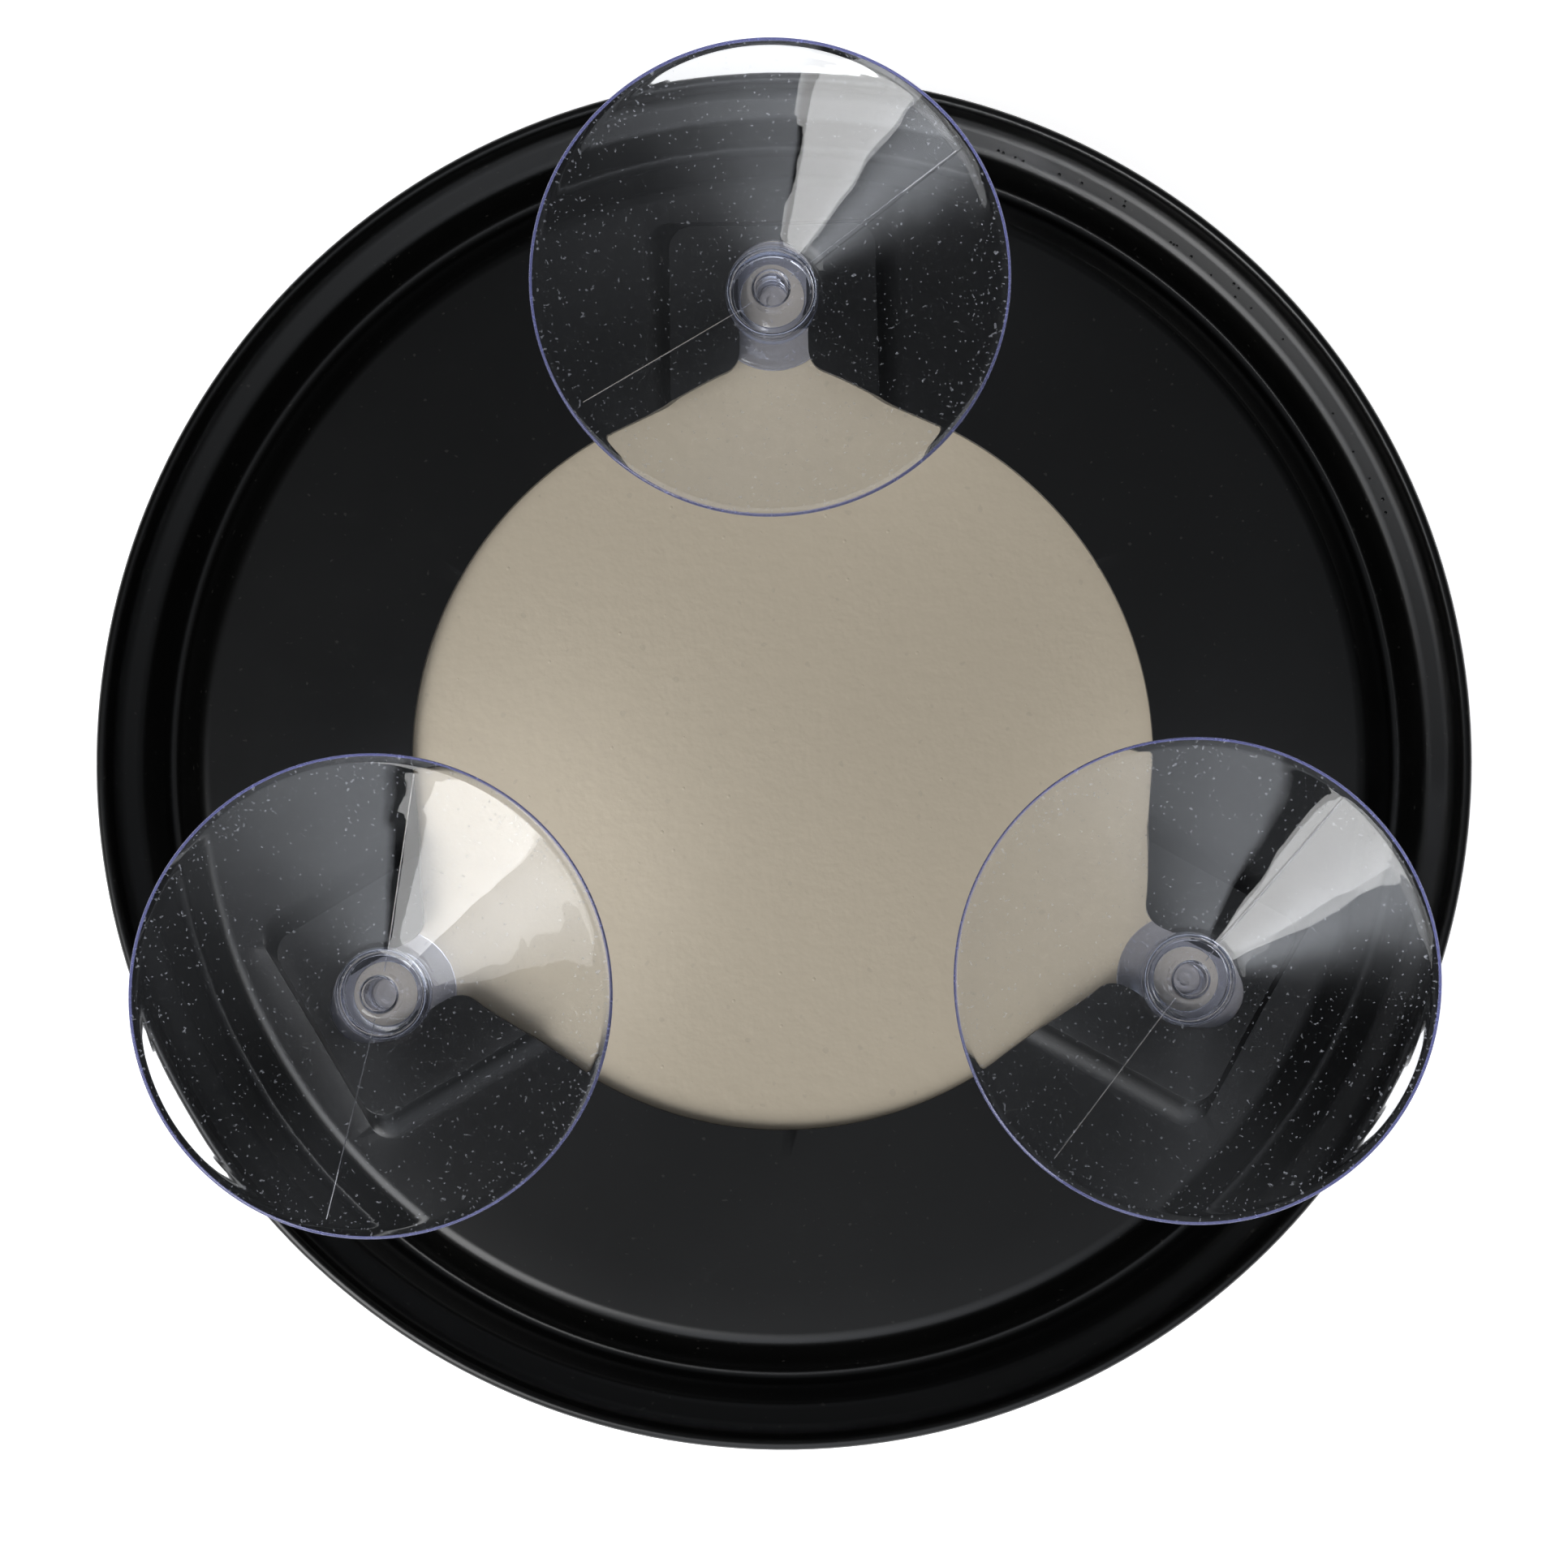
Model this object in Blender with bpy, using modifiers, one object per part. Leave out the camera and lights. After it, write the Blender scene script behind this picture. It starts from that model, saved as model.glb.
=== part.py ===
"""Round mirror with three suction cups on its back, lying face down.

The mirror's axis is +Z and the ridge around its face stands on the plane z = 0, so the cups point up. Heights are
measured from that plane and radii from the axis. The top cup is at +Y.
One moulded shell carries everything. Its flat back has a large round opening with three keyhole slots, and the
painted back of the glass shows through it. A raised pad, hollow underneath, surrounds each slot. A cup's mushroom
head goes in at the opening and slides outwards under the pad, with its neck in the slot.
"""

import math

import bmesh
import bpy

MM = 0.001
GAP = 0.3 * MM  # between pieces that touch

ARM_ANGLES = {"top": 90, "left": 210, "right": 330}  # degrees, one slot, pad and cup at each
RING_STEPS = 60  # sides of the large turned pieces
CUP_STEPS = 40

# Shell: back face from the axis outwards, in mm, then round the outer lip and back along the face side
WALL = 1.2 * MM
BACK_Z = 8.8 * MM
BACK_R = 74.2 * MM
SHOULDER_ROUND = 2.4 * MM
SHOULDER_SLOPE = 56  # degrees from the flat back
GROOVE_AND_LIP = [
    (79.55, 2.25),
    (80.0, 1.8),
    (80.8, 1.8),
    (81.3, 2.3),
    (83.35, 6.5),
    (84.0, 7.0),
    (86.2, 7.65),
    (87.15, 8.6),
    (87.5, 10.6),
    (87.8, 11.1),
    (88.2, 11.2),
    (88.8, 10.9),
    (89.0, 10.3),
]
FACE_SIDE = [
    (89.0, 9.0),
    (88.5, 7.5),
    (87.4, 6.4),
    (86.5, 5.9),
    (84.7, 5.3),
    (82.9, 1.2),
    (82.0, 0.2),
    (81.4, 0.0),
    (79.2, 0.0),
    (78.6, 0.3),
    (75.2, 7.0),
    (74.8, 7.6),
]

# Opening, and the three keyhole slots that run out from it
OPENING_R = 48.1 * MM
MOUTH_ROOT_HALF = 22.4 * MM
MOUTH_SIDE = [(46.1, 14.5), (48.8, 9.3), (49.8, 7.2), (50.3, 5.9), (51.0, 5.0), (52.3, 4.4)]  # mm, arm along +X
SLOT_HALF = 4.4 * MM
SLOT_END_R = 67.1 * MM

# Raised pads around the slots, hollow underneath for the cups' heads
PAD_HEIGHT = 1.9 * MM
PAD_HALF = 13.6 * MM
PAD_SIDE_SLOPE = 2.05 * MM
PAD_END_R = 69.7 * MM
PAD_END_SLOPE = 1.0 * MM
PAD_INNER_R = 30.0 * MM
PAD_CORNER = 3.0 * MM
HOLLOW_HALF = 12.4 * MM
HOLLOW_END_R = 68.4 * MM

# Glass, straight under the flat back, and the trim ring that holds it in from the front
GLASS_R = 74.8 * MM
GLASS_Z = (4.3 * MM, 7.3 * MM)
TRIM_INNER_R = 71.5 * MM
TRIM_Z = (0.4 * MM, 4.0 * MM)

# Suction cups
CUP_PITCH_R = 58.9 * MM
CUP_R = 30.0 * MM
CUP_LIP_Z = 31.8 * MM
CUP_DEPTH = 9.5 * MM  # sealing lip to the flat at the bottom of the cup
CENTRE_WALL = 2.9 * MM
LIP_FLAT = 1.2 * MM
CUP_EDGE = 0.9 * MM
FLOOR_R = 5.3 * MM
CORE_R = 2.0 * MM  # blind hole up the middle of the stem
CORE_DEPTH = 9.0 * MM
STEM_R = 5.5 * MM
STEM_FILLET = 1.6 * MM
NECK_R = 4.1 * MM
HEAD_R = 8.2 * MM
HEAD_THICK = 1.6 * MM

PAD_Z = BACK_Z + PAD_HEIGHT
CUP_FLOOR_Z = CUP_LIP_Z - CUP_DEPTH

COLOURS = {  # base colour, roughness, metallic, alpha
    "black_shell": ((0.012, 0.012, 0.012), 0.38, 0.0, 1.0),
    "painted_glass_back": ((0.38, 0.34, 0.27), 0.45, 0.0, 1.0),
    "bright_trim": ((0.70, 0.71, 0.72), 0.18, 1.0, 1.0),
    "clear_pvc": ((0.80, 0.82, 0.88), 0.12, 0.0, 0.35),
}


def clear_scene():
    """Take away whatever the scene starts with."""
    for obj in list(bpy.data.objects):
        bpy.data.objects.remove(obj, do_unlink=True)


def collection(name):
    """A new collection in the scene."""
    made = bpy.data.collections.new(name)
    bpy.context.scene.collection.children.link(made)
    return made


def material(name):
    """The Principled material of one sub-part, from the table of colours."""
    colour, roughness, metallic, alpha = COLOURS[name]
    made = bpy.data.materials.new(name)
    made.use_nodes = True
    shader = made.node_tree.nodes["Principled BSDF"]
    shader.inputs["Base Color"].default_value = (*colour, 1.0)
    shader.inputs["Roughness"].default_value = roughness
    shader.inputs["Metallic"].default_value = metallic
    shader.inputs["Alpha"].default_value = alpha
    made.diffuse_color = (*colour, alpha)
    return made


def arc(centre, radius, start, end, steps):
    """Points (radius, height) along an arc between two angles in degrees, both ends included."""
    angles = [math.radians(start + (end - start) * i / steps) for i in range(steps + 1)]
    return [(centre[0] + radius * math.cos(a), centre[1] + radius * math.sin(a)) for a in angles]


def add(obj, group, surface):
    """Put an object in its collection and give it its material."""
    group.objects.link(obj)
    obj.data.materials.clear()
    obj.data.materials.append(surface)
    return obj


def turned(name, line, steps, group, surface):
    """A solid turned about Z from (radius, height) points that run down its outer side.

    A line that starts or ends off the axis is closed into a ring section."""
    on_axis = line[0][0] == 0.0 and line[-1][0] == 0.0
    edges = [(i, i + 1) for i in range(len(line) - 1)]
    if not on_axis:
        edges.append((len(line) - 1, 0))
    mesh = bpy.data.meshes.new(name)
    mesh.from_pydata([(r, 0.0, z) for r, z in line], edges, [])
    obj = add(bpy.data.objects.new(name, mesh), group, surface)
    screw = obj.modifiers.new("Turn", "SCREW")
    screw.steps = steps
    screw.render_steps = steps
    screw.use_merge_vertices = True
    screw.merge_threshold = 0.01 * MM
    screw.use_smooth_shade = True
    return obj


def plate(name, outline, low, high, group, surface):
    """A flat plate between two heights, from a closed outline of (x, y) points."""
    curve = bpy.data.curves.new(name, "CURVE")
    curve.dimensions = "2D"
    curve.fill_mode = "BOTH"
    curve.extrude = (high - low) / 2
    spline = curve.splines.new("POLY")
    spline.points.add(len(outline) - 1)
    for point, (x, y) in zip(spline.points, outline):
        point.co = (x, y, 0.0, 1.0)
    spline.use_cyclic_u = True
    drawn = bpy.data.objects.new(name + "_outline", curve)
    bpy.context.scene.collection.objects.link(drawn)
    bpy.context.view_layer.update()
    mesh = bpy.data.meshes.new_from_object(drawn.evaluated_get(bpy.context.evaluated_depsgraph_get()))
    bpy.data.objects.remove(drawn, do_unlink=True)
    bm = bmesh.new()
    bm.from_mesh(mesh)
    bmesh.ops.remove_doubles(bm, verts=bm.verts, dist=0.001 * MM)
    bmesh.ops.translate(bm, verts=bm.verts, vec=(0.0, 0.0, (low + high) / 2))
    bmesh.ops.recalc_face_normals(bm, faces=bm.faces)
    bm.to_mesh(mesh)
    bm.free()
    return add(bpy.data.objects.new(name, mesh), group, surface)


def tapered_box(name, x_range, half, low, high, side_slope, end_slope, corner, group, surface):
    """A box with rounded upright corners whose sides and +X end spread out towards the bottom."""
    bm = bmesh.new()
    bmesh.ops.create_cube(bm, size=1.0)
    for v in bm.verts:
        bottom = v.co.z < 0
        side = half + (side_slope if bottom else 0.0)
        end = x_range[1] + (end_slope if bottom else 0.0)
        v.co.x = end if v.co.x > 0 else x_range[0]
        v.co.y = math.copysign(side, v.co.y)
        v.co.z = low if bottom else high
    upright = [e for e in bm.edges if abs(e.verts[0].co.z - e.verts[1].co.z) > 0.1 * MM]
    bmesh.ops.bevel(bm, geom=upright, offset=corner, segments=3, profile=0.5, affect="EDGES")
    bmesh.ops.recalc_face_normals(bm, faces=bm.faces)
    mesh = bpy.data.meshes.new(name)
    bm.to_mesh(mesh)
    bm.free()
    return add(bpy.data.objects.new(name, mesh), group, surface)


def cutter(obj):
    """Mark an object as a tool of a Boolean and not a piece."""
    obj.hide_render = True
    obj.display_type = "WIRE"
    return obj


def boolean(target, tool, operation):
    """Join a tool to an object, or cut it away, with the exact solver."""
    step = target.modifiers.new(operation.title() + " " + tool.name, "BOOLEAN")
    step.operation = operation
    step.solver = "EXACT"
    step.object = cutter(tool)


def turn_to(obj, degrees, radius=0.0):
    """Place an object drawn along +X at an angle about the mirror's axis."""
    angle = math.radians(degrees)
    obj.location = (radius * math.cos(angle), radius * math.sin(angle), 0.0)
    obj.rotation_euler = (0.0, 0.0, angle)
    return obj


def shell_line():
    """The shell's section: flat back, shoulder, groove, outer lip, then the face side back to the axis."""
    shoulder = arc((BACK_R, BACK_Z - SHOULDER_ROUND), SHOULDER_ROUND, 90, 90 - SHOULDER_SLOPE, 4)
    rim = [(r * MM, z * MM) for r, z in GROOVE_AND_LIP + FACE_SIDE]
    return [(0.0, BACK_Z), *shoulder, *rim, (0.0, BACK_Z - WALL)]


def mouth_half():
    """One side of a keyhole slot drawn along +X, from the opening's circle to the slot's tip."""
    root_x = math.sqrt(OPENING_R**2 - MOUTH_ROOT_HALF**2)
    side = [(x * MM, y * MM) for x, y in MOUTH_SIDE]
    tip = arc((SLOT_END_R - SLOT_HALF, 0.0), SLOT_HALF, 90, 0, 6)
    return [(root_x, MOUTH_ROOT_HALF), *side, *tip]


def opening_outline():
    """The outline of the round opening with its three keyhole slots, all in one."""
    half = mouth_half()
    slot = [(x, -y) for x, y in half[:-1]] + half[::-1]
    root_angle = math.degrees(math.asin(MOUTH_ROOT_HALF / OPENING_R))
    points = []
    for degrees in ARM_ANGLES.values():
        turn = math.radians(degrees)
        points += [(x * math.cos(turn) - y * math.sin(turn), x * math.sin(turn) + y * math.cos(turn)) for x, y in slot]
        start = degrees + root_angle
        points += arc((0.0, 0.0), OPENING_R, start, start + 120 - 2 * root_angle, 12)[1:-1]
    return points


def make_shell(parts, tools):
    """The moulded shell: stepped rim, flat back, raised pads, round opening and three slots."""
    black = material("black_shell")
    shell = turned("body_shell", shell_line(), RING_STEPS, parts, black)
    foot = WALL / 2
    for name, angle in ARM_ANGLES.items():
        pad = tapered_box(
            f"pad_{name}",
            (PAD_INNER_R, PAD_END_R),
            PAD_HALF,
            BACK_Z - foot,
            PAD_Z,
            PAD_SIDE_SLOPE * (PAD_HEIGHT + foot) / PAD_HEIGHT,
            PAD_END_SLOPE,
            PAD_CORNER,
            tools,
            black,
        )
        boolean(shell, turn_to(pad, angle), "UNION")
    for name, angle in ARM_ANGLES.items():
        hollow = tapered_box(
            f"hollow_{name}",
            (PAD_INNER_R - 2.0 * MM, HOLLOW_END_R),
            HOLLOW_HALF,
            BACK_Z - WALL - 0.5 * MM,
            PAD_Z - WALL,
            PAD_SIDE_SLOPE,
            PAD_END_SLOPE,
            PAD_CORNER - WALL / 2,
            tools,
            black,
        )
        boolean(shell, turn_to(hollow, angle), "DIFFERENCE")
    opening = plate("opening", opening_outline(), BACK_Z - WALL - 1.0 * MM, PAD_Z + 1.0 * MM, tools, black)
    boolean(shell, opening, "DIFFERENCE")


def make_glass(parts):
    """The glass with its painted back, and the trim ring in front of it."""
    edge = 0.3 * MM
    low, high = GLASS_Z
    glass = [(0.0, high), (GLASS_R - edge, high), (GLASS_R, high - edge), (GLASS_R, low + edge)]
    glass += [(GLASS_R - edge, low), (0.0, low)]
    turned("mirror_glass", glass, RING_STEPS, parts, material("painted_glass_back"))
    low, high = TRIM_Z
    wall_side = [(76.4 * MM, high), (78.1 * MM, low + 0.2 * MM), (77.9 * MM, low)]
    trim = [*wall_side, (TRIM_INNER_R + 0.9 * MM, low), (TRIM_INNER_R, high - 0.5 * MM), (TRIM_INNER_R, high)]
    turned("trim_ring", trim, RING_STEPS, parts, material("bright_trim"))


def cup_line():
    """The cup's section: core hole, floor, cone, sealing lip, back, stem, neck and mushroom head, in that order."""
    core_low = CUP_FLOOR_Z - CORE_DEPTH
    stem_top = CUP_FLOOR_Z - CENTRE_WALL
    stem_low = PAD_Z + GAP
    head_top = PAD_Z - WALL - GAP
    head_low = head_top - HEAD_THICK
    soft = 0.4 * MM
    fillet_centre = (STEM_R + STEM_FILLET, stem_top - 1.0 * MM)
    return [
        (0.0, core_low),
        (CORE_R - soft, core_low),
        (CORE_R, core_low + soft),
        (CORE_R, CUP_FLOOR_Z - soft / 2),
        (CORE_R + soft / 2, CUP_FLOOR_Z),
        (FLOOR_R, CUP_FLOOR_Z),
        (CUP_R - LIP_FLAT - soft, CUP_LIP_Z - soft / 2),
        (CUP_R - LIP_FLAT, CUP_LIP_Z),
        (CUP_R - soft / 2, CUP_LIP_Z),
        (CUP_R, CUP_LIP_Z - soft / 2),
        (CUP_R, CUP_LIP_Z - CUP_EDGE),
        *arc(fillet_centre, STEM_FILLET, 115, 180, 3),
        (STEM_R, stem_low + soft / 2),
        (STEM_R - soft / 2, stem_low),
        (NECK_R, stem_low),
        (NECK_R, head_top),
        (HEAD_R - soft, head_top),
        (HEAD_R, head_top - soft),
        (HEAD_R, head_low + soft),
        (HEAD_R - 1.5 * soft, head_low),
        (0.0, head_low),
    ]


def make_cups(parts):
    """Three cups, each turned about its own axis."""
    line = cup_line()
    clear = material("clear_pvc")
    for name, angle in ARM_ANGLES.items():
        cup = turned(f"suction_cup_{name}", line, CUP_STEPS, parts, clear)
        turn_to(cup, angle, CUP_PITCH_R)


def main():
    clear_scene()
    parts = collection("suction_mirror")
    tools = collection("cutters")
    make_shell(parts, tools)
    make_glass(parts)
    make_cups(parts)


main()
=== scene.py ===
"""Round suction mirror lying face down on a pale floor: black shell, painted glass back, three clear cups."""
import math
import random

import bmesh
import bpy
import numpy as np
from mathutils import Matrix, Vector, noise


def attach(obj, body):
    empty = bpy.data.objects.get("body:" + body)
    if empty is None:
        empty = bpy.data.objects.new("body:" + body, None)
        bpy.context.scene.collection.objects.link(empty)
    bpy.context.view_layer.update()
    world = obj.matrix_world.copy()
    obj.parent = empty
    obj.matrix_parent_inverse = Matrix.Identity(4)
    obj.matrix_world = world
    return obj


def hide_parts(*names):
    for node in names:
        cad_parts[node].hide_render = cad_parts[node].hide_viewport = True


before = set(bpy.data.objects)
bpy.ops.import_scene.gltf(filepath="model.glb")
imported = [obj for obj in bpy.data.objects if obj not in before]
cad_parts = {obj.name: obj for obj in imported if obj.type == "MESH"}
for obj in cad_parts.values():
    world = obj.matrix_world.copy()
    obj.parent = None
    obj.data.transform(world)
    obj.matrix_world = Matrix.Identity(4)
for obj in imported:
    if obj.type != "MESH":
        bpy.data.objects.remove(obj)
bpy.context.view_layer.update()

MM = 0.001
ARM_ANGLES = {"top": 90.0, "left": 210.0, "right": 330.0}
BODY = "mirror_body"

# ---------------------------------------------------------------- lines and meshes


def arc(centre, radius, start, end, steps):
    """Points along an arc between two angles in degrees, both ends included."""
    angles = [math.radians(start + (end - start) * i / steps) for i in range(steps + 1)]
    return [(centre[0] + radius * math.cos(a), centre[1] + radius * math.sin(a)) for a in angles]


def soften(line, cut, steps=3):
    """The open line with every inner corner rounded, taking up to `cut` from each side of it."""
    out = [line[0]]
    for before, here, after in zip(line, line[1:], line[2:]):
        ends = []
        for other in (before, after):
            d = (other[0] - here[0], other[1] - here[1])
            length = math.hypot(*d)
            part = min(cut, 0.45 * length) / length
            ends.append((here[0] + d[0] * part, here[1] + d[1] * part))
        for i in range(steps + 1):
            t = i / steps
            corner = zip(ends[0], here, ends[1])
            out.append(tuple((1 - t) ** 2 * a + 2 * t * (1 - t) * h + t * t * b for a, h, b in corner))
    out.append(line[-1])
    return out


def mm(points):
    """Points in millimetres, in metres."""
    return [(x * MM, y * MM) for x, y in points]


def new_object(name, mesh, materials):
    obj = bpy.data.objects.new(name, mesh)
    bpy.context.scene.collection.objects.link(obj)
    for m in materials:
        obj.data.materials.append(m)
    return obj


def turned_mesh(name, line, steps, closed=False, slot_of=None):
    """A surface turned about Z from (radius, height) points; slot_of(radius, height) picks a face's slot."""
    bm = bmesh.new()
    rings = []
    for r, z in line:
        if r < 1e-7:
            rings.append([bm.verts.new((0.0, 0.0, z))])
        else:
            turn = [2 * math.pi * i / steps for i in range(steps)]
            rings.append([bm.verts.new((r * math.cos(a), r * math.sin(a), z)) for a in turn])
    pairs = list(zip(range(len(line)), range(1, len(line))))
    if closed:
        pairs.append((len(line) - 1, 0))
    for i, j in pairs:
        a, b = rings[i], rings[j]
        middle = ((line[i][0] + line[j][0]) / 2, (line[i][1] + line[j][1]) / 2)
        slot = slot_of(*middle) if slot_of else 0
        for k in range(steps):
            n = (k + 1) % steps
            corners = [a[k % len(a)], b[k % len(b)], b[n % len(b)], a[n % len(a)]]
            unique = list(dict.fromkeys(corners))
            if len(unique) > 2:
                face = bm.faces.new(unique)
                face.material_index = slot
                face.smooth = True
    bmesh.ops.recalc_face_normals(bm, faces=bm.faces)
    mesh = bpy.data.meshes.new(name)
    bm.to_mesh(mesh)
    bm.free()
    return mesh


def plate_mesh(name, outline, low, high):
    """A flat plate between two heights from a closed outline."""
    bm = bmesh.new()
    bottom = [bm.verts.new((x, y, low)) for x, y in outline]
    top = [bm.verts.new((x, y, high)) for x, y in outline]
    bm.faces.new(bottom[::-1])
    bm.faces.new(top)
    for i in range(len(outline)):
        j = (i + 1) % len(outline)
        bm.faces.new((bottom[i], bottom[j], top[j], top[i]))
    bmesh.ops.recalc_face_normals(bm, faces=bm.faces)
    mesh = bpy.data.meshes.new(name)
    bm.to_mesh(mesh)
    bm.free()
    return mesh


def loft_mesh(name, loops):
    """A closed solid through equal loops of (x, y, z) points, capped at both ends."""
    bm = bmesh.new()
    rows = [[bm.verts.new(p) for p in loop] for loop in loops]
    for a, b in zip(rows, rows[1:]):
        for i in range(len(a)):
            j = (i + 1) % len(a)
            bm.faces.new((a[i], a[j], b[j], b[i]))
    bm.faces.new(rows[0][::-1])
    bm.faces.new(rows[-1])
    for face in bm.faces:
        face.smooth = True
    bmesh.ops.recalc_face_normals(bm, faces=bm.faces)
    mesh = bpy.data.meshes.new(name)
    bm.to_mesh(mesh)
    bm.free()
    mesh.set_sharp_from_angle(angle=math.radians(PAD_CREASE))
    return mesh


def baked(obj):
    """Apply the object's modifiers to its mesh."""
    bpy.context.view_layer.update()
    deps = bpy.context.evaluated_depsgraph_get()
    mesh = bpy.data.meshes.new_from_object(obj.evaluated_get(deps))
    obj.modifiers.clear()
    obj.data = mesh


def boolean(target, tool, operation):
    """Add a boolean step, which baked() applies."""
    step = target.modifiers.new(operation, "BOOLEAN")
    step.operation = operation
    step.solver = "EXACT"
    step.object = tool


# ---------------------------------------------------------------- materials


class Nodes:
    """Short calls for building a node tree."""

    def __init__(self, name):
        self.material = bpy.data.materials.new(name)
        self.material.use_nodes = True
        self.tree = self.material.node_tree
        self.shader = self.tree.nodes["Principled BSDF"]
        self.out = self.tree.nodes["Material Output"]
        self.coords = self.add("ShaderNodeTexCoord").outputs["Object"]

    def add(self, kind, **settings):
        node = self.tree.nodes.new(kind)
        for key, value in settings.items():
            if key in node.inputs:
                node.inputs[key].default_value = value
            else:
                setattr(node, key, value)
        return node

    def link(self, a, b):
        self.tree.links.new(a, b)

    def noise(self, scale, detail=3.0, rough=0.5):
        node = self.add("ShaderNodeTexNoise", Scale=scale, Detail=detail, Roughness=rough)
        self.link(self.coords, node.inputs["Vector"])
        return node.outputs["Fac"]

    def ramp(self, fac, stops):
        node = self.add("ShaderNodeValToRGB")
        ramp = node.color_ramp
        while len(ramp.elements) < len(stops):
            ramp.elements.new(0.5)
        for element, (place, colour) in zip(ramp.elements, stops):
            element.position = place
            element.color = (*colour, 1.0) if hasattr(colour, "__len__") else (colour, colour, colour, 1.0)
        self.link(fac, node.inputs["Fac"])
        return node.outputs["Color"]

    def math(self, kind, a, b, clamp=False):
        node = self.add("ShaderNodeMath", operation=kind, use_clamp=clamp)
        for socket, value in zip(node.inputs, (a, b)):
            if isinstance(value, (int, float)):
                socket.default_value = value
            else:
                self.link(value, socket)
        return node.outputs[0]

    def bump(self, height, distance, strength):
        node = self.add("ShaderNodeBump", Distance=distance, Strength=strength)
        self.link(height, node.inputs["Height"])
        return node.outputs["Normal"]

    def set(self, **values):
        """Set or link the shader's sockets."""
        for key, value in values.items():
            name = key.replace("_", " ")
            if isinstance(value, (int, float, tuple)):
                self.shader.inputs[name].default_value = value
            else:
                self.link(value, self.shader.inputs[name])


def black_plastic():
    """Satin black moulded plastic: fine grain, uneven sheen, a few dull scuffs and pale dust specks."""
    n = Nodes("satin_black_plastic")
    cloud = n.noise(28.0, 4.0, 0.6)
    grain = n.noise(1800.0, 2.0, 0.6)
    scuff = n.ramp(n.noise(220.0, 8.0, 0.75), [(0.60, 0.0), (0.72, 1.0)])
    dust = n.ramp(n.noise(1500.0, 0.0), [(0.80, 0.0), (0.83, 1.0)])
    base = n.ramp(cloud, [(0.3, (0.0005, 0.0005, 0.0004)), (0.7, (0.0013, 0.0013, 0.0011))])
    mix = n.add("ShaderNodeMix", data_type="RGBA")
    mix.inputs[7].default_value = (0.035, 0.033, 0.03, 1.0)
    n.link(n.math("MULTIPLY", dust, 0.5), mix.inputs[0])
    n.link(base, mix.inputs[6])
    rough = n.math("ADD", n.math("MULTIPLY", cloud, 0.10), 0.26)
    rough = n.math("ADD", rough, n.math("MULTIPLY", scuff, 0.05))
    normal = n.bump(grain, 0.00001, 0.4)
    n.set(Base_Color=mix.outputs[2], Roughness=rough, Normal=normal, IOR=1.5)
    return n.material


def beige_paint():
    """The glass's painted back: orange-peel bumps, faint broad clouding and a soft sheen."""
    n = Nodes("beige_back_paint")
    cloud = n.noise(14.0, 3.0, 0.5)
    peel = n.noise(520.0, 2.0, 0.45)
    fine = n.noise(1500.0, 2.0, 0.5)
    specks = n.ramp(n.noise(700.0, 0.0), [(0.79, 0.0), (0.82, 1.0)])
    base = n.ramp(cloud, [(0.3, (0.497, 0.429, 0.324)), (0.7, (0.529, 0.458, 0.348))])
    mix = n.add("ShaderNodeMix", data_type="RGBA")
    mix.inputs[7].default_value = (0.20, 0.17, 0.14, 1.0)
    n.link(n.math("MULTIPLY", specks, 0.15), mix.inputs[0])
    n.link(base, mix.inputs[6])
    height = n.math("ADD", peel, n.math("MULTIPLY", fine, 0.25))
    normal = n.bump(height, 0.00012, 0.55)
    rough = n.math("ADD", n.math("MULTIPLY", cloud, 0.08), 0.36)
    n.set(Base_Color=mix.outputs[2], Roughness=rough, Normal=normal, IOR=1.45)
    return n.material


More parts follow.
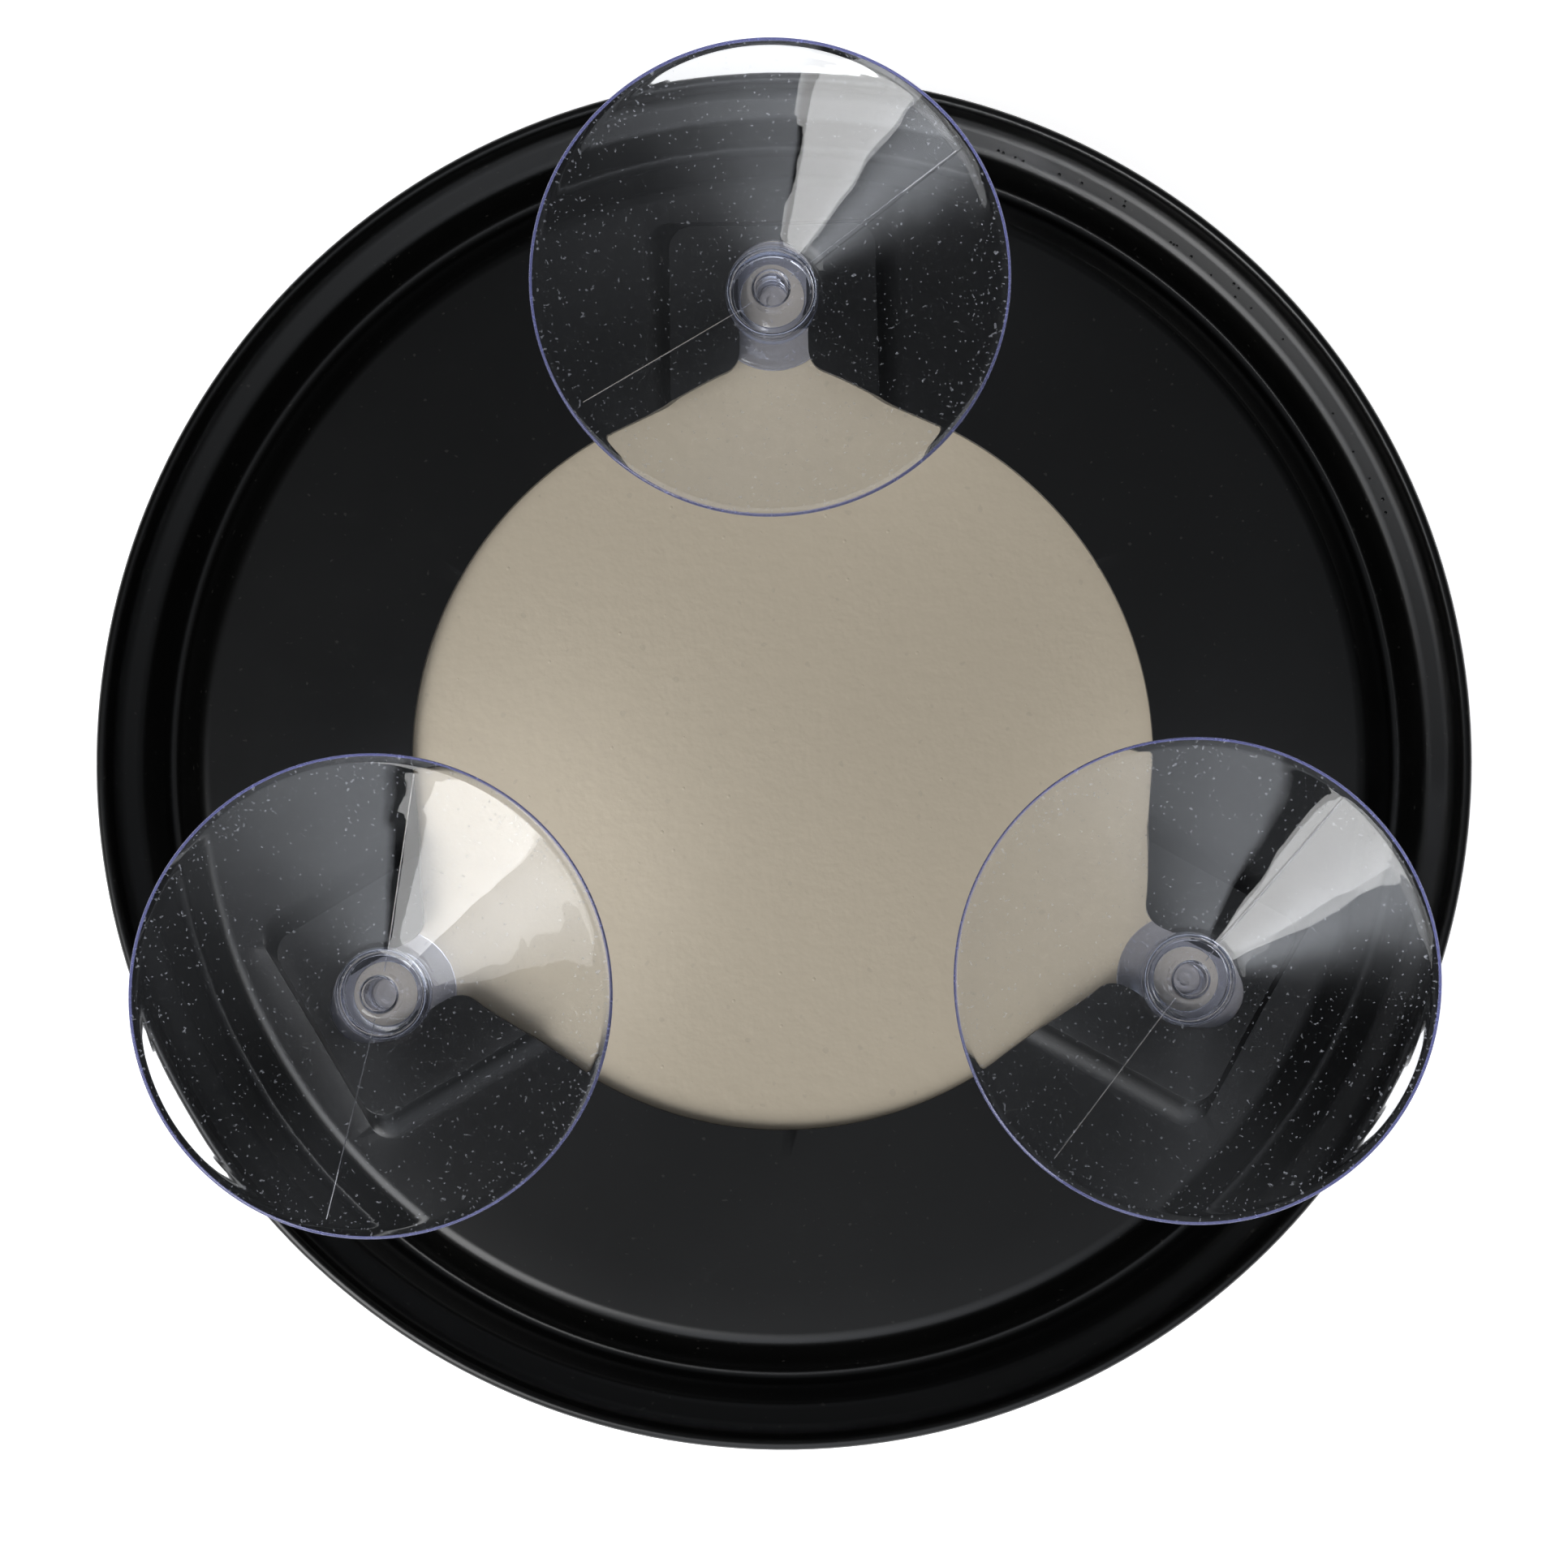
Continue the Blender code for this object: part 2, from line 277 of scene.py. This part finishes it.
def clear_pvc(name, tint, haze, rough, haze_colour=(0.80, 0.82, 0.88)):
    """Clear soft PVC: refracting body with a little haze, faint flow waves, dust and fine scuffs."""
    n = Nodes(name)
    wave = n.noise(90.0, 2.0, 0.5)
    fine = n.noise(420.0, 3.0, 0.55)
    scuff = n.ramp(n.noise(650.0, 8.0, 0.8), [(0.58, 0.0), (0.75, 1.0)])
    flat = n.add("ShaderNodeVectorMath", operation="MULTIPLY")
    flat.inputs[1].default_value = (1.0, 1.0, 0.0)
    n.link(n.coords, flat.inputs[0])
    reach = n.add("ShaderNodeVectorMath", operation="LENGTH")
    n.link(flat.outputs[0], reach.inputs[0])
    # dust gathers beyond 24.5 mm from the cup's axis, by its rim, and within 12 mm, by its stem
    near_rim = n.math("MULTIPLY", n.math("SUBTRACT", reach.outputs["Value"], 24.5 * MM), 220.0, clamp=True)
    near_stem = n.math("MULTIPLY", n.math("SUBTRACT", 12.0 * MM, reach.outputs["Value"]), 250.0, clamp=True)
    dirt = n.math("ADD", n.math("MULTIPLY", near_rim, 0.05), n.math("MULTIPLY", near_stem, 0.03))
    dust = n.ramp(n.math("ADD", n.noise(2300.0, 0.0), dirt), [(0.785, 0.0), (0.81, 1.0)])
    height = n.math("ADD", wave, n.math("MULTIPLY", fine, 0.06))
    n.set(
        Base_Color=n.ramp(wave, [(0.2, tint), (0.8, tuple(min(1.0, c * 1.03) for c in tint))]),
        Roughness=n.math("ADD", n.math("MULTIPLY", scuff, 0.10), rough),
        Normal=n.bump(height, 0.00010, 0.25),
        IOR=1.50,
        Transmission_Weight=1.0,
    )
    veil = n.add("ShaderNodeBsdfDiffuse", Color=(*haze_colour, 1.0))
    through = n.add("ShaderNodeBsdfTranslucent", Color=(*haze_colour, 1.0))
    both = n.add("ShaderNodeMixShader", Fac=0.35)
    n.link(veil.outputs[0], both.inputs[1])
    n.link(through.outputs[0], both.inputs[2])
    milky = n.add("ShaderNodeMixShader")
    amount = n.math("ADD", n.math("MULTIPLY", dust, 0.22), haze)
    amount = n.math("ADD", amount, n.math("MULTIPLY", scuff, 0.004), clamp=True)
    n.link(amount, milky.inputs[0])
    n.link(n.shader.outputs[0], milky.inputs[1])
    n.link(both.outputs[0], milky.inputs[2])
    # shadow rays pass straight through, so the cups cast only a faint shadow
    light = n.add("ShaderNodeBsdfTransparent", Color=(0.93, 0.935, 0.95, 1.0))
    path = n.add("ShaderNodeLightPath")
    final = n.add("ShaderNodeMixShader")
    n.link(path.outputs["Is Shadow Ray"], final.inputs[0])
    n.link(milky.outputs[0], final.inputs[1])
    n.link(light.outputs[0], final.inputs[2])
    n.link(final.outputs[0], n.out.inputs["Surface"])
    return n.material


def mirror_silver():
    """The silvered front of the glass, with faint wiping marks in the polish."""
    n = Nodes("mirror_silver")
    smear = n.noise(60.0, 6.0, 0.7)
    base = n.ramp(smear, [(0.3, (0.84, 0.86, 0.87)), (0.7, (0.88, 0.90, 0.91))])
    n.set(Base_Color=base, Metallic=1.0, Roughness=n.math("MULTIPLY", smear, 0.05))
    n.set(Normal=n.bump(smear, 0.00001, 0.2))
    return n.material


def bright_trim():
    """Bright plated plastic with fine turning marks and a little wear."""
    n = Nodes("bright_trim")
    rub = n.noise(300.0, 6.0, 0.7)
    base = n.ramp(rub, [(0.3, (0.66, 0.67, 0.68)), (0.7, (0.74, 0.75, 0.76))])
    n.set(Base_Color=base, Metallic=1.0, Roughness=n.math("ADD", n.math("MULTIPLY", rub, 0.15), 0.10))
    n.set(Normal=n.bump(rub, 0.00002, 0.3))
    return n.material


# ---------------------------------------------------------------- shell, in mm

BACK_Z = 8.8
UNDERSIDE_Z = 7.6
BACK_R = 74.2
INNER_R = 30.0  # where the turned shell starts; the opening cuts its middle away
SHOULDER_ROUND = 2.4
OPENING_R = 48.1
MOUTH_ROOT_HALF = 22.4  # half the width of a slot's mouth where it leaves the opening
SLOT_HALF = 4.4
SLOT_TIP = 62.7  # centre of a slot's round end

# from the foot of the shoulder, through the groove, over the outer lip and back along the face side
RIM = [(79.55, 2.25), (80.0, 1.8), (80.8, 1.8), (81.3, 2.3), (83.35, 6.5), (84.0, 7.0), (86.2, 7.65)]
RIM += [(87.15, 8.6), (87.5, 10.6), (87.8, 11.1), (88.2, 11.2), (88.8, 10.9), (89.0, 10.3), (89.0, 9.0)]
RIM += [(88.5, 7.5), (87.4, 6.4), (86.5, 5.9), (84.7, 5.3), (82.9, 1.2), (82.0, 0.2), (81.4, 0.0)]
RIM += [(79.2, 0.0), (78.6, 0.3), (75.2, 7.0), (74.8, UNDERSIDE_Z), (INNER_R, UNDERSIDE_Z)]

EDGE_BEVEL = 0.22
SHELL_CREASE = 20  # degrees
PAD_CREASE = 35


def shell_line():
    """The shell's closed section."""
    shoulder = arc((BACK_R, BACK_Z - SHOULDER_ROUND), SHOULDER_ROUND, 90, 34, 10)
    rim = soften([shoulder[-1], *RIM], 0.45)
    flat = [(r, BACK_Z) for r in (INNER_R, 46.0, 52.0, 60.0, 68.0)]
    return mm([*flat, *shoulder, *rim[1:]])


def slot_outline():
    """One keyhole slot along +X, from the opening's circle round the tip and back."""
    root = (math.sqrt(OPENING_R**2 - MOUTH_ROOT_HALF**2), MOUTH_ROOT_HALF)
    mouth = [(46.1, 14.5), (48.8, 9.3), (49.8, 7.2), (50.3, 5.9), (51.0, 5.0), (52.3, SLOT_HALF)]
    side = soften([root, *mouth, (SLOT_TIP, SLOT_HALF)], 0.7)
    tip = arc((SLOT_TIP, 0.0), SLOT_HALF, 90, 0, 14)
    half = [*side[:-1], *tip]
    return [(x, -y) for x, y in half[:-1]] + half[::-1]


def opening_outline():
    """The round opening with its three slots."""
    slot = slot_outline()
    root = math.degrees(math.asin(MOUTH_ROOT_HALF / OPENING_R))
    points = []
    for degrees in ARM_ANGLES.values():
        a = math.radians(degrees)
        points += [(x * math.cos(a) - y * math.sin(a), x * math.sin(a) + y * math.cos(a)) for x, y in slot]
        points += arc((0.0, 0.0), OPENING_R, degrees + root, degrees + 120 - root, 60)[1:-1]
    return mm(points)


PAD_END = 69.95  # the raised pads' foot, from the axis
PAD_HALF = 17.0
PAD_FOOT_Z = 8.78
PAD_RISE = 1.82
PAD_FOOT_ROUND = 4.5


def pad_loop(inner, end, half, corner, z):
    """A rectangle from x = inner to end at one height, with its two outer corners rounded."""
    points = [(inner, -half)]
    points += arc((end - corner, -half + corner), corner, -90, 0, 8)
    points += arc((end - corner, half - corner), corner, 0, 90, 8)
    points += [(inner, half)]
    return [(x * MM, y * MM, z * MM) for x, y in points]


def raised_pad(name):
    """The pad around a slot: a rounded foot, a slope and a rounded top edge."""
    turns = [math.radians(t) for t in range(0, 46, 5)]
    sides = []
    for t in turns:
        z = PAD_FOOT_Z + PAD_FOOT_ROUND * (1 - math.cos(t))
        sides.append((PAD_HALF - PAD_FOOT_ROUND * math.sin(t), z))
    sides += [(13.4, 10.5), (13.3, 10.57), (13.15, 10.6)]
    loops = [pad_loop(28.0, PAD_END, PAD_HALF, 3.3, 7.9)]
    for half, z in sides:
        rise = (z - PAD_FOOT_Z) / PAD_RISE
        loops.append(pad_loop(28.0, PAD_END - 0.8 * rise, half, 3.2 - 0.3 * rise, z))
    return loft_mesh(name, loops)


def pad_hollow(name):
    """The space under a pad, in which the cup's head slides."""
    steps = [(69.3, 14.4, 2.4, 7.0), (68.3, 12.2, 2.4, 9.2), (68.0, 11.9, 2.2, 9.4)]
    return loft_mesh(name, [pad_loop(26.0, *step) for step in steps])


def make_shell(black):
    """The turned shell with its pads added, then their hollows and the opening cut out."""
    shell = new_object("shell_body", turned_mesh("shell", shell_line(), 240, closed=True), [black])
    tools = []

    def tool(mesh, degrees=0.0):
        obj = new_object("tool", mesh, [black])
        obj.rotation_euler.z = math.radians(degrees)
        tools.append(obj)
        return obj

    for name, degrees in ARM_ANGLES.items():
        boolean(shell, tool(raised_pad(f"pad_{name}"), degrees), "UNION")
    for name, degrees in ARM_ANGLES.items():
        boolean(shell, tool(pad_hollow(f"hollow_{name}"), degrees), "DIFFERENCE")
    boolean(shell, tool(plate_mesh("opening", opening_outline(), 6.0 * MM, 14.0 * MM)), "DIFFERENCE")
    baked(shell)
    for obj in tools:
        bpy.data.objects.remove(obj, do_unlink=True)
    bevel = shell.modifiers.new("Edges", "BEVEL")
    bevel.width = EDGE_BEVEL * MM
    bevel.segments = 2
    bevel.limit_method = "ANGLE"
    bevel.angle_limit = math.radians(50)
    bevel.use_clamp_overlap = True
    baked(shell)
    shell.data.set_sharp_from_angle(angle=math.radians(SHELL_CREASE))
    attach(shell, BODY)
    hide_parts("body_shell")


# ---------------------------------------------------------------- glass and grit, in mm

GLASS_LOW = 4.3
GLASS_HIGH = 7.3
GLASS_R = 74.8

def glass_slot(r, z):
    """0 for the painted back, 1 for the silvered face."""
    return 0 if z > 5.0 * MM else 1


def make_glass(paint, silver):
    """The glass disc, painted on its back and silvered on its face."""
    outer = GLASS_R * 0.9
    rim = [(outer, GLASS_HIGH), (GLASS_R, GLASS_HIGH), (GLASS_R, GLASS_LOW), (outer, GLASS_LOW)]
    line = [(0.0, GLASS_HIGH)] + [(GLASS_R * i / 10, GLASS_HIGH) for i in range(1, 10)]
    line += soften(rim, 0.35)[1:]
    line += [(GLASS_R * i / 10, GLASS_LOW) for i in range(8, 0, -1)] + [(0.0, GLASS_LOW)]
    mesh = turned_mesh("glass", mm(line), 192, slot_of=glass_slot)
    glass = new_object("glass_disc", mesh, [paint, silver])
    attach(glass, BODY)
    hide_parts("mirror_glass")


def dome(bm, centre, radius, height, sides=10):
    """A low round bump."""
    rows = []
    turn = [2 * math.pi * k / sides for k in range(sides)]
    for part, rise in ((1.0, 0.0), (0.8, 0.45), (0.45, 0.85)):
        r = radius * part
        ring = [Vector((r * math.cos(a), r * math.sin(a), height * rise)) for a in turn]
        rows.append([bm.verts.new(centre + point) for point in ring])
    tip = bm.verts.new(centre + Vector((0, 0, height)))
    for a, b in zip(rows, rows[1:]):
        for k in range(sides):
            n = (k + 1) % sides
            bm.faces.new((a[k], a[n], b[n], b[k]))
    for k in range(sides):
        bm.faces.new((rows[-1][k], rows[-1][(k + 1) % sides], tip))
    bm.faces.new(rows[0][::-1])


def make_nibs(name, spots, material):
    """Small bumps in one piece, from (x, y, z, radius, height) in mm."""
    bm = bmesh.new()
    for x, y, z, radius, height in spots:
        dome(bm, Vector((x, y, z)) * MM, radius * MM, height * MM)
    for face in bm.faces:
        face.smooth = True
    mesh = bpy.data.meshes.new(name)
    bm.to_mesh(mesh)
    bm.free()
    obj = new_object(name, mesh, [material])
    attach(obj, BODY)


def paint_nibs():
    """Grit caught under the paint, spread over the open part of the glass."""
    draw = random.Random(4)
    spots = []
    for _ in range(110):
        r, a = 46.0 * math.sqrt(draw.random()), draw.uniform(0, 2 * math.pi)
        size = draw.choice((0.12, 0.14, 0.18, 0.24))
        spots.append((r * math.cos(a), r * math.sin(a), 7.27, size * 1.3, size * 0.25))
    return spots


def rim_nibs():
    """Specks moulded into the rim's sloping band."""
    draw = random.Random(9)
    spots = []
    for _ in range(26):
        a = math.radians(draw.uniform(15, 75))
        r = draw.uniform(84.4, 85.6)
        band_z = 7.1 + (r - 83.8) * 0.286
        spots.append((r * math.cos(a), r * math.sin(a), band_z, draw.uniform(0.12, 0.24), 0.12))
    return spots


# ---------------------------------------------------------------- suction cups, in mm

PITCH = 58.9  # a cup's axis from the mirror's axis
LIP_Z = 31.8
FLOOR_Z = 22.3  # the flat middle of the cup's inside
CONE_START = 5.3
CONE_SLOPE = 0.402
HEAD_Z = (7.6, 9.2)
SAG_DEPTH = 0.16
SAG_FROM = 8.0  # the cone is stiff nearer to the stem than this
PARTING = {"top": 33.0, "left": 78.0, "right": 50.0}  # azimuth of each parting line in degrees


def cup_line():
    """The cup's section: from the core hole's bottom up the inside, over the lip and down to the head."""
    inside = [(0.0, 13.3), (0.7, 13.3), (0.8, 13.55), (1.0, 13.55), (1.2, 13.3), (1.7, 13.35), (2.0, 13.8)]
    inside += [(2.05, 22.0), (2.45, 22.42), (2.8, 22.38), (3.1, FLOOR_Z), (4.9, FLOOR_Z), (5.6, 22.45)]
    cone = [(r, FLOOR_Z + (r - CONE_START) * CONE_SLOPE) for r in np.arange(7.0, 28.3, 1.0)]
    lip = [(28.5, 31.65), (28.9, LIP_Z), (29.75, LIP_Z), (30.0, 31.6), (29.98, 31.1), (29.75, 30.85)]
    back = [(r, 19.4 + (r - 5.5) * 0.469) for r in np.arange(28.0, 8.4, -1.0)]
    stem = arc((7.1, 18.4), 1.6, 115, 180, 6) + [(5.5, 11.25), (5.3, 11.0), (4.1, 10.95)]
    low, high = HEAD_Z
    head = [(4.1, 9.35), (4.3, high), (7.8, high), (8.2, 8.9), (8.2, 8.0), (7.8, low), (0.0, low)]
    return mm(soften([*inside, *cone, *lip, *back, *stem, *head], 0.14, 2))


def cup_slot(r, z):
    """0 for the thin cone, 1 for the thick stem and head, 2 for the rim's edge."""
    r, z = r / MM, z / MM
    if r > 29.5:
        return 2
    if z < 18.0 or r < 2.2:
        return 1
    return 0


def sag(x, y, seed):
    """How far the soft cone sags and ripples, always downwards, at a place around the cup's axis."""
    weight = max(0.0, min(1.0, (math.hypot(x, y) - SAG_FROM) / 12.0))
    broad = noise.noise(Vector((x * 0.075, y * 0.075, seed)))
    ripple = broad + 0.35 * noise.noise(Vector((x * 0.2, y * 0.2, seed + 5)))
    return (0.5 + 0.5 * max(-1.0, min(1.0, 1.6 * ripple))) * SAG_DEPTH * weight


def wave_cup(mesh, seed):
    """Let the cone sag, but not the stem and head below it."""
    for v in mesh.vertices:
        x, y, z = v.co / MM
        if math.hypot(x, y) >= SAG_FROM and z >= 19.0:
            v.co.z -= sag(x, y, seed) * MM


def parting_line(name, angle, pvc, centre, body, seed):
    """The mould's parting line: a hair-thin ridge across the cup's inside, on both sides of the core hole."""
    bm = bmesh.new()
    rows = []
    a = math.radians(angle)
    side = Vector((-math.sin(a), math.cos(a), 0)) * 0.07
    for along in range(-28, 29):
        if abs(along) < 3:
            rows.append(None)
            continue
        x, y = along * math.cos(a), along * math.sin(a)
        z = FLOOR_Z + max(0.0, abs(along) - CONE_START) * CONE_SLOPE - sag(x, y, seed)
        mid = Vector((x, y, z))
        rows.append([bm.verts.new((mid + side * k + Vector((0, 0, up))) * MM)
                     for k, up in ((-1, -0.03), (0, 0.055), (1, -0.03))])
    for here, ahead in zip(rows, rows[1:]):
        if here and ahead:
            for k in range(3):
                n = (k + 1) % 3
                bm.faces.new((here[k], ahead[k], ahead[n], here[n]))
    for neighbours in (rows[1:] + [None], [None] + rows[:-1]):
        for row, neighbour in zip(rows, neighbours):
            if row and not neighbour:
                bm.faces.new(row)
    bmesh.ops.recalc_face_normals(bm, faces=bm.faces)
    mesh = bpy.data.meshes.new(name)
    bm.to_mesh(mesh)
    bm.free()
    obj = new_object(name, mesh, [pvc])
    obj.location = centre
    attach(obj, body)


def make_cups():
    """Three cups, alike but for their ripples and the way their parting lines run."""
    thin = clear_pvc("clear_pvc_cone", (0.955, 0.965, 0.99), 0.0015, 0.02)
    thick = clear_pvc("clear_pvc_stem", (0.52, 0.56, 0.68), 0.015, 0.02, (0.66, 0.67, 0.84))
    edge = clear_pvc("clear_pvc_rim", (0.62, 0.64, 1.0), 0.30, 0.05, (0.38, 0.40, 0.78))
    ridge = clear_pvc("clear_pvc_ridge", (0.95, 0.95, 1.0), 0.05, 0.05)
    for index, (name, degrees) in enumerate(ARM_ANGLES.items()):
        seed = index * 7.3
        angle = math.radians(degrees)
        centre = Vector((PITCH * math.cos(angle), PITCH * math.sin(angle), 0.0)) * MM
        mesh = turned_mesh(f"cup_{name}", cup_line(), 180, slot_of=cup_slot)
        wave_cup(mesh, seed)
        cup = new_object(f"cup_{name}", mesh, [thin, thick, edge])
        cup.location = centre
        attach(cup, f"cup_{name}")
        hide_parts(f"suction_cup_{name}")
        parting_line(f"cup_{name}_parting_line", PARTING[name], ridge, centre, f"cup_{name}", seed)


# ---------------------------------------------------------------- stage


CAMERA_TARGET = (0.225, -3.34, 10.2)  # mm
CAMERA_DISTANCE = 476.6  # mm
CAMERA_LEAN = (1.0, -2.4)  # degrees off the vertical towards +X and +Y
CAMERA_ROLL = -1.07  # degrees
CAMERA_LENS = 84.61  # mm on a sensor 36 mm wide


def make_camera():
    """The photograph's view: almost straight down, with +Y up in the picture."""
    data = bpy.data.cameras.new("camera")
    data.sensor_width = 36.0
    data.lens = CAMERA_LENS
    data.clip_start = 0.01
    data.clip_end = 20.0
    obj = bpy.data.objects.new("camera", data)
    bpy.context.scene.collection.objects.link(obj)
    target = Vector(CAMERA_TARGET) * MM
    lean_x, lean_y = (math.sin(math.radians(angle)) for angle in CAMERA_LEAN)
    place = target + Vector((lean_x, lean_y, 1.0)).normalized() * CAMERA_DISTANCE * MM
    back = (place - target).normalized()
    right = Vector((0.0, 1.0, 0.0)).cross(back).normalized()
    roll = Matrix.Rotation(math.radians(CAMERA_ROLL), 3, "Z")
    turn = Matrix((right, back.cross(right), back)).transposed() @ roll
    obj.matrix_world = Matrix.Translation(place) @ turn.to_4x4()
    bpy.context.scene.camera = obj


FLOOR_HALF = 8.0  # metres, wide enough to fill low views to the horizon


def make_floor():
    """A plain white floor, just below the ridge that the mirror lies on."""
    corners = [(x * FLOOR_HALF, y * FLOOR_HALF) for x, y in ((-1, -1), (1, -1), (1, 1), (-1, 1))]
    mesh = plate_mesh("floor", corners, -0.01, -0.0001)
    n = Nodes("pale_floor")
    tone = n.ramp(n.noise(3.0), [(0.3, (0.86, 0.86, 0.86)), (0.7, (0.88, 0.88, 0.88))])
    n.set(Base_Color=tone, Roughness=0.7, Normal=n.bump(n.noise(400.0), 0.0001, 0.1))
    n.set(Emission_Color=(1.0, 1.0, 1.0, 1.0), Emission_Strength=0.9)
    floor = new_object("floor", mesh, [n.material])


def direction(azimuth, off_vertical):
    """The unit vector at an azimuth, in degrees from +X, and an angle off the vertical."""
    a, t = math.radians(azimuth), math.radians(off_vertical)
    return Vector((math.sin(t) * math.cos(a), math.sin(t) * math.sin(a), math.cos(t)))


# azimuth and angle off the vertical in degrees, radiance, and how tightly the glow is gathered
FRONT_GLOW = (-106, 52, 1.75, 5.0)
ROOM_GLOWS = [FRONT_GLOW, (-5, 50, 0.13, 8.0), (85, 55, 0.22, 12.0), (0, 0, 0.18, 10.0)]
ROOM_GLOWS += [(-155, 42, 3.3, 67.0)]
FRONT_EDGE = -107  # the front glow ends sharply at this azimuth, with a dark gap beside the key light
ROOM_FILL = 0.003


def make_world():
    """A dim studio room with soft glows: in front, at the right, behind, overhead and at the left."""
    world = bpy.data.worlds.new("studio")
    bpy.context.scene.world = world
    world.use_nodes = True
    tree = world.node_tree
    back = tree.nodes["Background"]
    coords = tree.nodes.new("ShaderNodeTexCoord").outputs["Generated"]

    def math_node(kind, a, b, clamp=False):
        node = tree.nodes.new("ShaderNodeMath")
        node.operation, node.use_clamp = kind, clamp
        for socket, value in zip(node.inputs, (a, b)):
            if isinstance(value, (int, float)):
                socket.default_value = value
            else:
                tree.links.new(value, socket)
        return node.outputs[0]

    def along(vector):
        node = tree.nodes.new("ShaderNodeVectorMath")
        node.operation = "DOT_PRODUCT"
        node.inputs[1].default_value = vector
        tree.links.new(coords, node.inputs[0])
        return node.outputs["Value"]

    total = ROOM_FILL
    for entry in ROOM_GLOWS:
        azimuth, off, radiance, power = entry
        near = math_node("MAXIMUM", along(direction(azimuth, off)), 0.0)
        glow = math_node("MULTIPLY", math_node("POWER", near, power), radiance)
        if entry is FRONT_GLOW:
            side = along(direction(FRONT_EDGE + 90, 90))
            mask = math_node("ADD", math_node("MULTIPLY", side, 40.0), 0.5, clamp=True)
            glow = math_node("MULTIPLY", glow, mask)
        total = math_node("ADD", glow, total)
    back.inputs["Color"].default_value = (0.94, 0.98, 1.05, 1.0)
    tree.links.new(total, back.inputs["Strength"])


# centre and size across and up, in parts of the distance, then radiance
KEY_PANELS = {"key": (0.0625, -0.10, 0.365, 0.80, 6.0), "key_wing": (-0.37, -0.25, 0.50, 0.44, 2.3)}
KEY_DISTANCE = 1.2
KEY_DIRECTION = (225, 42.6)  # azimuth and angle off the vertical in degrees


def make_lights():
    """A big softbox to the front left, made of two panels side by side that face the object."""
    out = direction(*KEY_DIRECTION)
    across = Vector((math.sqrt(0.5), -math.sqrt(0.5), 0.0))
    up = out.cross(across)
    for name, (u, v, width, height, radiance) in KEY_PANELS.items():
        light = bpy.data.lights.new(name, "AREA")
        light.shape = "RECTANGLE"
        light.size, light.size_y = width * KEY_DISTANCE, height * KEY_DISTANCE
        light.energy = radiance * math.pi * light.size * light.size_y
        obj = bpy.data.objects.new(name, light)
        bpy.context.scene.collection.objects.link(obj)
        place = (out + across * u + up * v) * KEY_DISTANCE
        obj.matrix_world = Matrix.Translation(place) @ Matrix((across, up, out)).transposed().to_4x4()


def main():
    make_world()
    make_lights()
    make_camera()
    make_floor()
    black = black_plastic()
    paint = beige_paint()
    silver = mirror_silver()
    make_shell(black)
    make_glass(paint, silver)
    make_nibs("paint_nibs", paint_nibs(), paint)
    make_nibs("rim_nibs", rim_nibs(), black)
    make_cups()
    trim = bright_trim()
    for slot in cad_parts["trim_ring"].material_slots:
        slot.material = trim
    scene = bpy.context.scene
    scene.view_settings.view_transform = "Standard"
    scene.view_settings.look = "None"


main()
